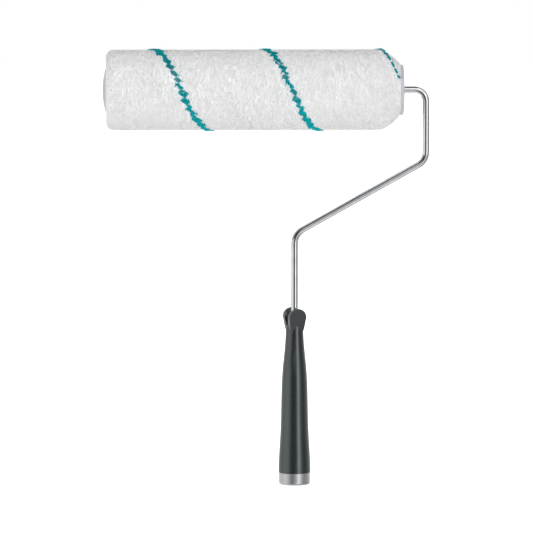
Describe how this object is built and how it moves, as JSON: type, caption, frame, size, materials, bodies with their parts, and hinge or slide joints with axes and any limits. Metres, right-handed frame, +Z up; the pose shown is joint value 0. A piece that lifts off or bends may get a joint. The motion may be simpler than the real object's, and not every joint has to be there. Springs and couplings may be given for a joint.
{
  "type": "paint roller with frame",
  "caption": "Hand paint roller: plush microfibre sleeve with turquoise marker stripe turning on a bent wire frame, black tapered plastic handle with metal ferrule and pole socket",
  "frame": {"origin": "centre of the mouth of the pole socket at the foot of the handle", "axes": "+Z up along the handle, +X along the spindle from the free end to the bend, -Y towards the side that is shown"},
  "size_m": [0.2777, 0.0694, 0.3717],
  "materials": {
    "wire": "bright plated wire, smooth",
    "spring_steel": "plain spring steel",
    "washer": "natural white plastic",
    "grip": "black, finely grained moulding with a soft sheen",
    "ferrule": "brushed along the handle",
    "socket_liner": "dark plastic",
    "core": "plain off-white plastic tube",
    "pile": "dense plush microfibre pile",
    "marker": "turquoise marker yarn knitted into the pile",
    "cap": "light grey plastic",
    "bush": "natural white bearing plastic"
  },
  "bodies": {
    "handle": {"frame_rod": "wire", "retaining_clip": "spring_steel", "outer_thrust_washer": "washer", "inner_thrust_washer": "washer", "handle_grip": "grip", "handle_ferrule": "ferrule", "pole_socket_insert": "socket_liner"},
    "sleeve": {"core_tube": "core", "pile_fabric": "pile", "marker_yarn": "marker", "outer_end_cap": "cap", "inner_end_cap": "cap", "bearing_spider": "cap", "outer_bearing_bush": "bush", "inner_bearing_bush": "bush", "spindle_guide_tube": "core"}
  },
  "joints": [
    {"name": "sleeve_spin", "type": "hinge", "parent": "handle", "child": "sleeve", "pos_m": [0, 0, 0.337], "axis": [1, 0, 0], "continuous": true}
  ]
}
